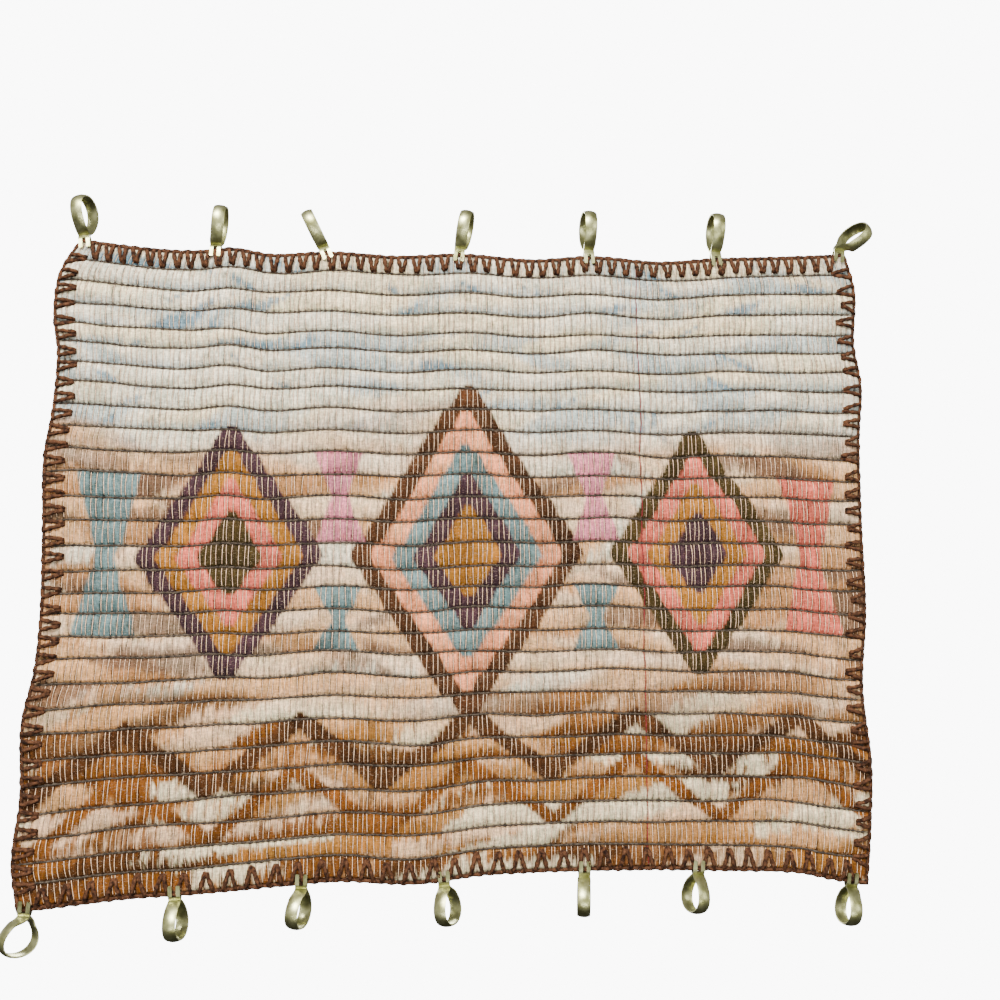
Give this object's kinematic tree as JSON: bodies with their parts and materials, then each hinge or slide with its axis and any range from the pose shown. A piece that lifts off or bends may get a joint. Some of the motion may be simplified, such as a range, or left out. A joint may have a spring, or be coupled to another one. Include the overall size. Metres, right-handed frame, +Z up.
{
  "type": "woven tapestry wall hanging with clip rings",
  "caption": "Small handwoven roving tapestry with a blanket-stitched brown edging and clip-on metal rings along its top and bottom edges.",
  "frame": {"origin": "middle of the straight line through the centres of the top rings, where a rod would pass", "axes": "+Z up, +X to the right along the top edge, -Y out of the cloth's face"},
  "size_m": [0.6245, 0.0296, 0.5325],
  "materials": {
    "wool": "matte",
    "edging_yarn": "matte",
    "brass": "satin"
  },
  "bodies": {
    "root": {"panel": "wool", "edging": "edging_yarn", "ring_top_1": "brass", "ring_top_2": "brass", "ring_top_3": "brass", "ring_top_4": "brass", "ring_top_5": "brass", "ring_top_6": "brass", "ring_top_7": "brass", "ring_bottom_1": "brass", "ring_bottom_2": "brass", "ring_bottom_3": "brass", "ring_bottom_4": "brass", "ring_bottom_5": "brass", "ring_bottom_6": "brass", "ring_bottom_7": "brass"}
  },
  "joints": []
}
